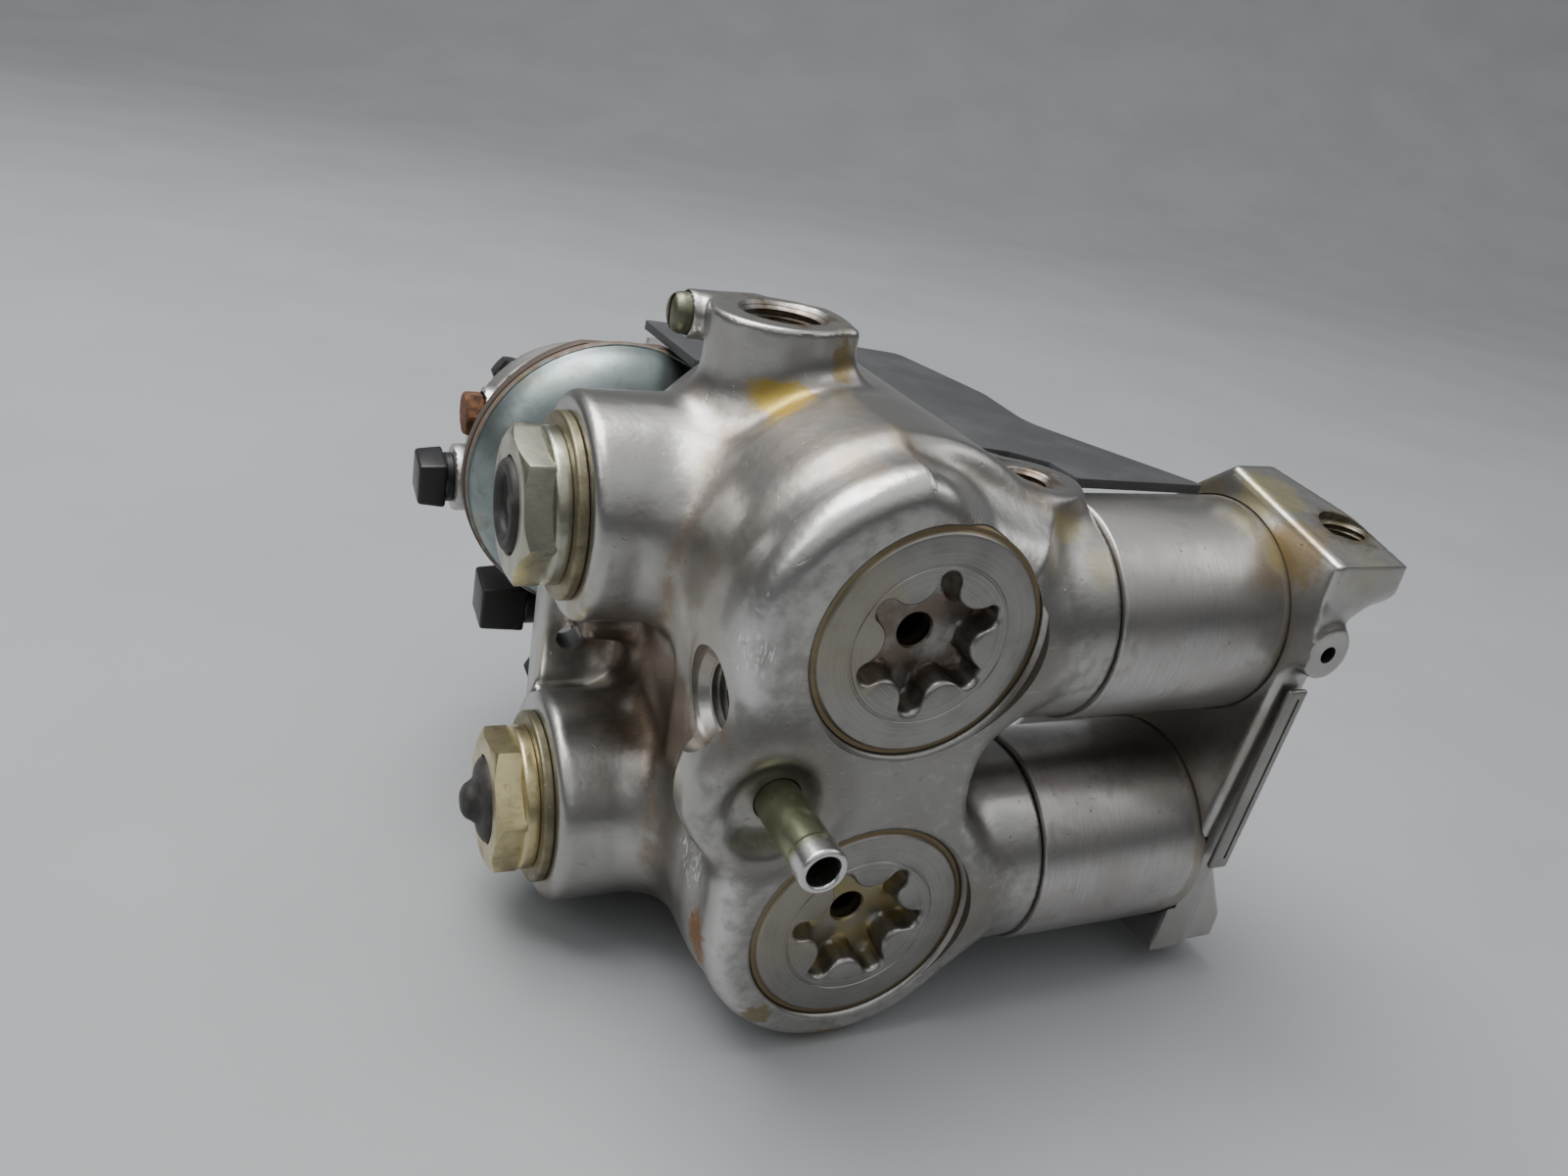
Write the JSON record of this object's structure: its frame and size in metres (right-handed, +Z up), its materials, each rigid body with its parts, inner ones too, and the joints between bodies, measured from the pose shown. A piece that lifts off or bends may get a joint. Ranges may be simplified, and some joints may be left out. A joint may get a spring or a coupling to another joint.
{
  "type": "hydraulic gear pump",
  "caption": "Hydraulic gear pump unit: cast valve body with star plugs, piston tubes to an end block, hex adapters, and a gear pump section with a domed cover behind.",
  "frame": {"origin": "centre of the bounding box's bottom face", "axes": "+X along the two tubes towards the end block, +Y from the star plugs back to the pump shaft, +Z up"},
  "size_m": [0.1746, 0.176, 0.1376],
  "materials": {
    "cast_aluminium": "satin as-cast, stained",
    "tube_steel": "brushed",
    "plug_steel": "turned",
    "olive_zinc": "olive passivated",
    "brass": "machined, dulled",
    "blue_zinc": "blue-grey zinc plate",
    "black_steel": "blackened",
    "dark_plate": "matte",
    "gear_steel": "ground",
    "bronze": "sintered",
    "rubber": "matte",
    "rust": "rusted"
  },
  "bodies": {
    "unit": {"valve_body": "cast_aluminium", "upper_star_plug": "plug_steel", "upper_plug_o_ring": "rubber", "lower_star_plug": "plug_steel", "lower_plug_o_ring": "rubber", "upper_tube": "tube_steel", "lower_tube": "tube_steel", "upper_hex_adapter": "olive_zinc", "upper_sealing_washer": "bronze", "upper_dust_cap": "rubber", "lower_hex_adapter": "brass", "lower_sealing_washer": "bronze", "lower_dust_cap": "rubber", "drain_nipple": "olive_zinc", "bleed_plug": "olive_zinc", "outlet_check_retainer": "brass", "outlet_check_spring": "gear_steel", "end_block": "cast_aluminium", "end_block_strip": "cast_aluminium", "pump_housing": "cast_aluminium", "dome_cover": "blue_zinc", "clamp_ring": "black_steel", "rear_cover": "cast_aluminium", "shaft_seal": "rubber", "cover_bolt_1": "black_steel", "cover_bolt_2": "black_steel", "cover_bolt_3": "black_steel", "cover_bolt_4": "black_steel", "through_bolt_1": "black_steel", "through_bolt_2": "black_steel", "through_bolt_3": "black_steel", "relief_plug": "black_steel", "housing_plug": "black_steel", "return_plug": "rust", "drive_front_bush": "bronze", "driven_front_bush": "bronze", "drive_rear_bush": "bronze", "driven_rear_bush": "bronze", "top_bracket": "dark_plate", "bracket_spacer_1": "rubber", "bracket_spacer_2": "rubber", "bracket_screw_1": "black_steel", "bracket_screw_2": "black_steel"},
    "drive": {"drive_gear": "gear_steel", "drive_shaft": "gear_steel"},
    "driven": {"driven_gear": "gear_steel", "driven_shaft": "gear_steel"},
    "upper_floating_piston": {"upper_piston": "gear_steel", "upper_piston_seal": "rubber"},
    "lower_floating_piston": {"lower_piston": "gear_steel", "lower_piston_seal": "rubber"},
    "check_ball": {"outlet_check_ball": "gear_steel"}
  },
  "joints": [
    {"name": "drive_turn", "type": "hinge", "parent": "unit", "child": "drive", "pos_m": [-0.04535, 0.05, 0.0687], "axis": [0, 1, 0], "continuous": true},
    {"name": "driven_turn", "type": "hinge", "parent": "unit", "child": "driven", "pos_m": [-0.04535, 0.05, 0.0903], "axis": [0, 1, 0], "continuous": true},
    {"name": "upper_piston_slide", "type": "slide", "parent": "unit", "child": "upper_floating_piston", "axis": [1, 0, 0], "range_m": [-0.0025, 0.0155]},
    {"name": "lower_piston_slide", "type": "slide", "parent": "unit", "child": "lower_floating_piston", "axis": [1, 0, 0], "range_m": [-0.0025, 0.0155]},
    {"name": "check_ball_lift", "type": "slide", "parent": "unit", "child": "check_ball", "axis": [0, 0, 1], "range_m": [0, 0.003], "stiffness_N_per_m": 150, "springref_m": -0.002, "deforming": ["outlet_check_spring"]}
  ],
  "couplings": [
    {"joint": "driven_turn", "follows": "drive_turn", "ratio": -1}
  ]
}
